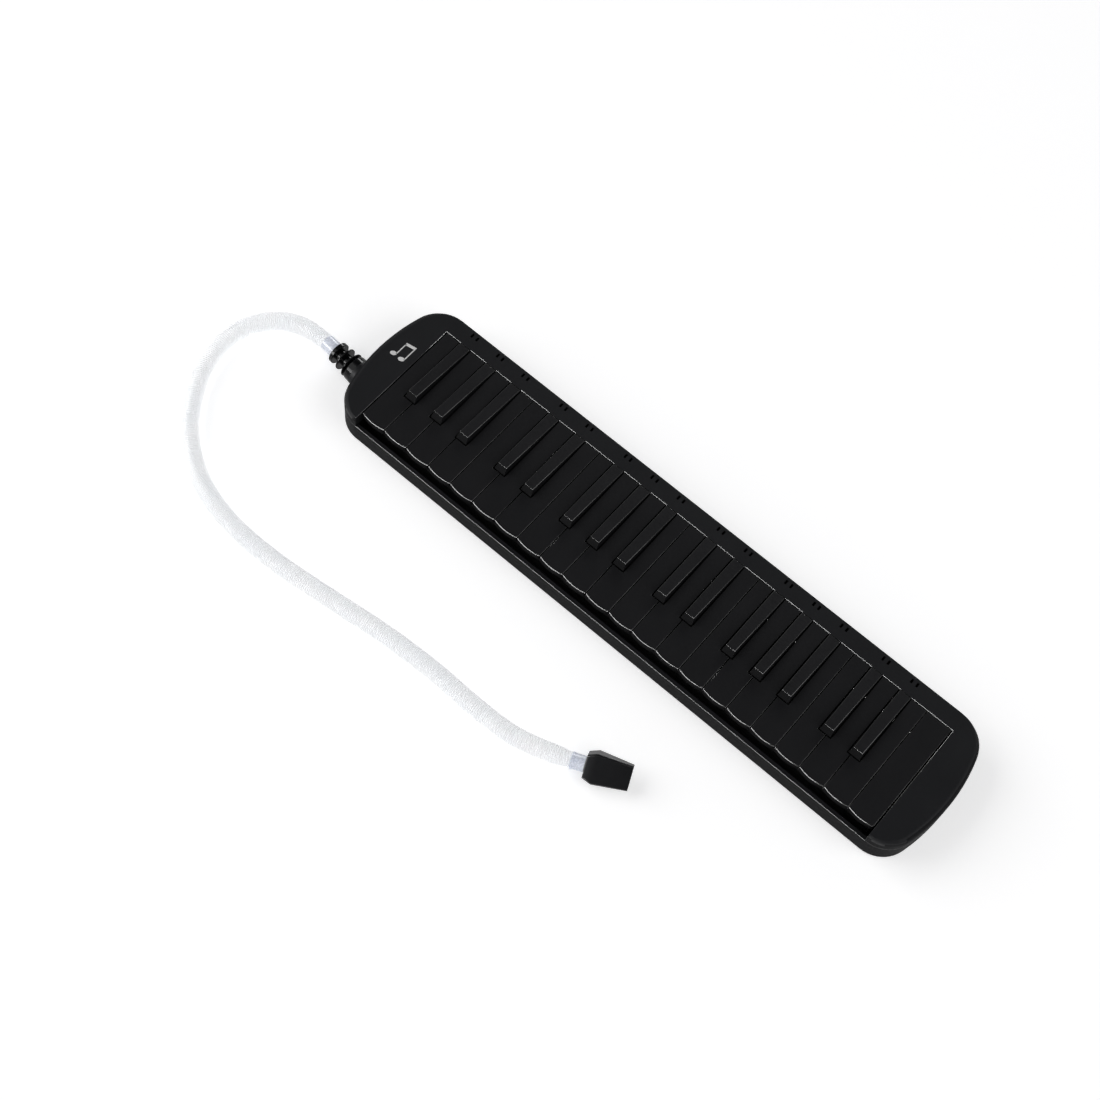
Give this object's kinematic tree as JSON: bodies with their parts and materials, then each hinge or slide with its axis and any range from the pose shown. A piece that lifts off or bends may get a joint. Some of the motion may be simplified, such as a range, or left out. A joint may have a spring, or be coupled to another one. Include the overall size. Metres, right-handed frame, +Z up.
{
  "type": "melodica",
  "caption": "Black three-octave wind keyboard with rounded ends, spring-loaded keys over a reed chest, and a translucent ribbed blowing hose with a flat mouthpiece.",
  "frame": {"origin": "middle of the underside of the case, on the surface it lies on", "axes": "+X along the keyboard to the high notes, +Y to the rear edge, +Z up"},
  "size_m": [0.5113, 0.1938, 0.0305],
  "materials": {
    "case_plastic": "satin black",
    "key_plastic": "satin black, a little smoother than the case",
    "chest_plastic": "moulded, dark grey",
    "soft_rubber": "soft",
    "plug_rubber": "glossy black",
    "screw_steel": "zinc plated",
    "spring_bronze": "rolled",
    "reed_brass": "rolled",
    "felt": "pressed felt",
    "hose_plastic": "translucent white",
    "cuff_plastic": "translucent, slightly blue",
    "mouth_plastic": "satin black"
  },
  "bodies": {
    "case": {"upper_cover": "case_plastic", "lower_case": "case_plastic", "case_screws": "screw_steel", "wind_chest": "chest_plastic", "chamber_gasket": "soft_rubber", "reed_plate": "reed_brass", "reeds": "reed_brass", "chamber_block": "chest_plastic", "chest_screws": "screw_steel", "blow_duct": "chest_plastic", "blow_socket": "case_plastic", "key_comb": "chest_plastic", "pivot_rod": "screw_steel", "key_springs": "spring_bronze", "front_rail": "chest_plastic", "stop_felts": "felt", "drain_spring": "screw_steel"},
    "key_f3": {"key_f3": "key_plastic"},
    "key_fsharp3": {"key_fsharp3": "key_plastic"},
    "key_g3": {"key_g3": "key_plastic"},
    "key_gsharp3": {"key_gsharp3": "key_plastic"},
    "key_a3": {"key_a3": "key_plastic"},
    "key_asharp3": {"key_asharp3": "key_plastic"},
    "key_b3": {"key_b3": "key_plastic"},
    "key_c4": {"key_c4": "key_plastic"},
    "key_csharp4": {"key_csharp4": "key_plastic"},
    "key_d4": {"key_d4": "key_plastic"},
    "key_dsharp4": {"key_dsharp4": "key_plastic"},
    "key_e4": {"key_e4": "key_plastic"},
    "key_f4": {"key_f4": "key_plastic"},
    "key_fsharp4": {"key_fsharp4": "key_plastic"},
    "key_g4": {"key_g4": "key_plastic"},
    "key_gsharp4": {"key_gsharp4": "key_plastic"},
    "key_a4": {"key_a4": "key_plastic"},
    "key_asharp4": {"key_asharp4": "key_plastic"},
    "key_b4": {"key_b4": "key_plastic"},
    "key_c5": {"key_c5": "key_plastic"},
    "key_csharp5": {"key_csharp5": "key_plastic"},
    "key_d5": {"key_d5": "key_plastic"},
    "key_dsharp5": {"key_dsharp5": "key_plastic"},
    "key_e5": {"key_e5": "key_plastic"},
    "key_f5": {"key_f5": "key_plastic"},
    "key_fsharp5": {"key_fsharp5": "key_plastic"},
    "key_g5": {"key_g5": "key_plastic"},
    "key_gsharp5": {"key_gsharp5": "key_plastic"},
    "key_a5": {"key_a5": "key_plastic"},
    "key_asharp5": {"key_asharp5": "key_plastic"},
    "key_b5": {"key_b5": "key_plastic"},
    "key_c6": {"key_c6": "key_plastic"},
    "key_csharp6": {"key_csharp6": "key_plastic"},
    "key_d6": {"key_d6": "key_plastic"},
    "key_dsharp6": {"key_dsharp6": "key_plastic"},
    "key_e6": {"key_e6": "key_plastic"},
    "key_f6": {"key_f6": "key_plastic"},
    "drain": {"drain_button": "key_plastic"},
    "hose_set": {"hose_plug": "plug_rubber", "hose_inlet_cuff": "cuff_plastic", "hose": "hose_plastic", "hose_outlet_cuff": "cuff_plastic", "mouthpiece": "mouth_plastic"}
  },
  "joints": [
    {"name": "key_f3_press", "type": "hinge", "parent": "case", "child": "key_f3", "pos_m": [-0.1841, 0.02, 0.0192], "axis": [1, 0, 0], "range_deg": [0, 3.4], "stiffness_Nm_per_rad": 0.2, "springref_deg": -8.59, "deforming": ["key_springs"]},
    {"name": "key_fsharp3_press", "type": "hinge", "parent": "case", "child": "key_fsharp3", "pos_m": [-0.1747, 0.02, 0.0192], "axis": [1, 0, 0], "range_deg": [0, 3.4], "stiffness_Nm_per_rad": 0.2, "springref_deg": -8.59},
    {"name": "key_g3_press", "type": "hinge", "parent": "case", "child": "key_g3", "pos_m": [-0.16455, 0.02, 0.0192], "axis": [1, 0, 0], "range_deg": [0, 3.4], "stiffness_Nm_per_rad": 0.2, "springref_deg": -8.59},
    {"name": "key_gsharp3_press", "type": "hinge", "parent": "case", "child": "key_gsharp3", "pos_m": [-0.1544, 0.02, 0.0192], "axis": [1, 0, 0], "range_deg": [0, 3.4], "stiffness_Nm_per_rad": 0.2, "springref_deg": -8.59},
    {"name": "key_a3_press", "type": "hinge", "parent": "case", "child": "key_a3", "pos_m": [-0.1444, 0.02, 0.0192], "axis": [1, 0, 0], "range_deg": [0, 3.4], "stiffness_Nm_per_rad": 0.2, "springref_deg": -8.59},
    {"name": "key_asharp3_press", "type": "hinge", "parent": "case", "child": "key_asharp3", "pos_m": [-0.1344, 0.02, 0.0192], "axis": [1, 0, 0], "range_deg": [0, 3.4], "stiffness_Nm_per_rad": 0.2, "springref_deg": -8.59},
    {"name": "key_b3_press", "type": "hinge", "parent": "case", "child": "key_b3", "pos_m": [-0.12525, 0.02, 0.0192], "axis": [1, 0, 0], "range_deg": [0, 3.4], "stiffness_Nm_per_rad": 0.2, "springref_deg": -8.59},
    {"name": "key_c4_press", "type": "hinge", "parent": "case", "child": "key_c4", "pos_m": [-0.11455, 0.02, 0.0192], "axis": [1, 0, 0], "range_deg": [0, 3.4], "stiffness_Nm_per_rad": 0.2, "springref_deg": -8.59},
    {"name": "key_csharp4_press", "type": "hinge", "parent": "case", "child": "key_csharp4", "pos_m": [-0.1044, 0.02, 0.0192], "axis": [1, 0, 0], "range_deg": [0, 3.4], "stiffness_Nm_per_rad": 0.2, "springref_deg": -8.59},
    {"name": "key_d4_press", "type": "hinge", "parent": "case", "child": "key_d4", "pos_m": [-0.09425, 0.02, 0.0192], "axis": [1, 0, 0], "range_deg": [0, 3.4], "stiffness_Nm_per_rad": 0.2, "springref_deg": -8.59},
    {"name": "key_dsharp4_press", "type": "hinge", "parent": "case", "child": "key_dsharp4", "pos_m": [-0.0841, 0.02, 0.0192], "axis": [1, 0, 0], "range_deg": [0, 3.4], "stiffness_Nm_per_rad": 0.2, "springref_deg": -8.59},
    {"name": "key_e4_press", "type": "hinge", "parent": "case", "child": "key_e4", "pos_m": [-0.0743, 0.02, 0.0192], "axis": [1, 0, 0], "range_deg": [0, 3.4], "stiffness_Nm_per_rad": 0.2, "springref_deg": -8.59},
    {"name": "key_f4_press", "type": "hinge", "parent": "case", "child": "key_f4", "pos_m": [-0.0637, 0.02, 0.0192], "axis": [1, 0, 0], "range_deg": [0, 3.4], "stiffness_Nm_per_rad": 0.2, "springref_deg": -8.59},
    {"name": "key_fsharp4_press", "type": "hinge", "parent": "case", "child": "key_fsharp4", "pos_m": [-0.0543, 0.02, 0.0192], "axis": [1, 0, 0], "range_deg": [0, 3.4], "stiffness_Nm_per_rad": 0.2, "springref_deg": -8.59},
    {"name": "key_g4_press", "type": "hinge", "parent": "case", "child": "key_g4", "pos_m": [-0.04415, 0.02, 0.0192], "axis": [1, 0, 0], "range_deg": [0, 3.4], "stiffness_Nm_per_rad": 0.2, "springref_deg": -8.59},
    {"name": "key_gsharp4_press", "type": "hinge", "parent": "case", "child": "key_gsharp4", "pos_m": [-0.034, 0.02, 0.0192], "axis": [1, 0, 0], "range_deg": [0, 3.4], "stiffness_Nm_per_rad": 0.2, "springref_deg": -8.59},
    {"name": "key_a4_press", "type": "hinge", "parent": "case", "child": "key_a4", "pos_m": [-0.024, 0.02, 0.0192], "axis": [1, 0, 0], "range_deg": [0, 3.4], "stiffness_Nm_per_rad": 0.2, "springref_deg": -8.59},
    {"name": "key_asharp4_press", "type": "hinge", "parent": "case", "child": "key_asharp4", "pos_m": [-0.014, 0.02, 0.0192], "axis": [1, 0, 0], "range_deg": [0, 3.4], "stiffness_Nm_per_rad": 0.2, "springref_deg": -8.59},
    {"name": "key_b4_press", "type": "hinge", "parent": "case", "child": "key_b4", "pos_m": [-0.00485, 0.02, 0.0192], "axis": [1, 0, 0], "range_deg": [0, 3.4], "stiffness_Nm_per_rad": 0.2, "springref_deg": -8.59},
    {"name": "key_c5_press", "type": "hinge", "parent": "case", "child": "key_c5", "pos_m": [0.00585, 0.02, 0.0192], "axis": [1, 0, 0], "range_deg": [0, 3.4], "stiffness_Nm_per_rad": 0.2, "springref_deg": -8.59},
    {"name": "key_csharp5_press", "type": "hinge", "parent": "case", "child": "key_csharp5", "pos_m": [0.016, 0.02, 0.0192], "axis": [1, 0, 0], "range_deg": [0, 3.4], "stiffness_Nm_per_rad": 0.2, "springref_deg": -8.59},
    {"name": "key_d5_press", "type": "hinge", "parent": "case", "child": "key_d5", "pos_m": [0.02615, 0.02, 0.0192], "axis": [1, 0, 0], "range_deg": [0, 3.4], "stiffness_Nm_per_rad": 0.2, "springref_deg": -8.59},
    {"name": "key_dsharp5_press", "type": "hinge", "parent": "case", "child": "key_dsharp5", "pos_m": [0.0363, 0.02, 0.0192], "axis": [1, 0, 0], "range_deg": [0, 3.4], "stiffness_Nm_per_rad": 0.2, "springref_deg": -8.59},
    {"name": "key_e5_press", "type": "hinge", "parent": "case", "child": "key_e5", "pos_m": [0.0461, 0.02, 0.0192], "axis": [1, 0, 0], "range_deg": [0, 3.4], "stiffness_Nm_per_rad": 0.2, "springref_deg": -8.59},
    {"name": "key_f5_press", "type": "hinge", "parent": "case", "child": "key_f5", "pos_m": [0.0567, 0.02, 0.0192], "axis": [1, 0, 0], "range_deg": [0, 3.4], "stiffness_Nm_per_rad": 0.2, "springref_deg": -8.59},
    {"name": "key_fsharp5_press", "type": "hinge", "parent": "case", "child": "key_fsharp5", "pos_m": [0.0661, 0.02, 0.0192], "axis": [1, 0, 0], "range_deg": [0, 3.4], "stiffness_Nm_per_rad": 0.2, "springref_deg": -8.59},
    {"name": "key_g5_press", "type": "hinge", "parent": "case", "child": "key_g5", "pos_m": [0.07625, 0.02, 0.0192], "axis": [1, 0, 0], "range_deg": [0, 3.4], "stiffness_Nm_per_rad": 0.2, "springref_deg": -8.59},
    {"name": "key_gsharp5_press", "type": "hinge", "parent": "case", "child": "key_gsharp5", "pos_m": [0.0864, 0.02, 0.0192], "axis": [1, 0, 0], "range_deg": [0, 3.4], "stiffness_Nm_per_rad": 0.2, "springref_deg": -8.59},
    {"name": "key_a5_press", "type": "hinge", "parent": "case", "child": "key_a5", "pos_m": [0.0964, 0.02, 0.0192], "axis": [1, 0, 0], "range_deg": [0, 3.4], "stiffness_Nm_per_rad": 0.2, "springref_deg": -8.59},
    {"name": "key_asharp5_press", "type": "hinge", "parent": "case", "child": "key_asharp5", "pos_m": [0.1064, 0.02, 0.0192], "axis": [1, 0, 0], "range_deg": [0, 3.4], "stiffness_Nm_per_rad": 0.2, "springref_deg": -8.59},
    {"name": "key_b5_press", "type": "hinge", "parent": "case", "child": "key_b5", "pos_m": [0.11555, 0.02, 0.0192], "axis": [1, 0, 0], "range_deg": [0, 3.4], "stiffness_Nm_per_rad": 0.2, "springref_deg": -8.59},
    {"name": "key_c6_press", "type": "hinge", "parent": "case", "child": "key_c6", "pos_m": [0.12625, 0.02, 0.0192], "axis": [1, 0, 0], "range_deg": [0, 3.4], "stiffness_Nm_per_rad": 0.2, "springref_deg": -8.59},
    {"name": "key_csharp6_press", "type": "hinge", "parent": "case", "child": "key_csharp6", "pos_m": [0.1364, 0.02, 0.0192], "axis": [1, 0, 0], "range_deg": [0, 3.4], "stiffness_Nm_per_rad": 0.2, "springref_deg": -8.59},
    {"name": "key_d6_press", "type": "hinge", "parent": "case", "child": "key_d6", "pos_m": [0.14655, 0.02, 0.0192], "axis": [1, 0, 0], "range_deg": [0, 3.4], "stiffness_Nm_per_rad": 0.2, "springref_deg": -8.59},
    {"name": "key_dsharp6_press", "type": "hinge", "parent": "case", "child": "key_dsharp6", "pos_m": [0.1567, 0.02, 0.0192], "axis": [1, 0, 0], "range_deg": [0, 3.4], "stiffness_Nm_per_rad": 0.2, "springref_deg": -8.59},
    {"name": "key_e6_press", "type": "hinge", "parent": "case", "child": "key_e6", "pos_m": [0.1665, 0.02, 0.0192], "axis": [1, 0, 0], "range_deg": [0, 3.4], "stiffness_Nm_per_rad": 0.2, "springref_deg": -8.59},
    {"name": "key_f6_press", "type": "hinge", "parent": "case", "child": "key_f6", "pos_m": [0.1806, 0.02, 0.0192], "axis": [1, 0, 0], "range_deg": [0, 3.4], "stiffness_Nm_per_rad": 0.2, "springref_deg": -8.59},
    {"name": "drain_press", "type": "slide", "parent": "case", "child": "drain", "axis": [0, -1, 0], "range_m": [0, 0.0014], "stiffness_N_per_m": 800, "springref_m": -0.0008, "deforming": ["drain_spring"]},
    {"name": "plug_pull", "type": "slide", "parent": "case", "child": "hose_set", "axis": [-0.9962, 0.0872, 0], "range_m": [0, 0.007]}
  ]
}
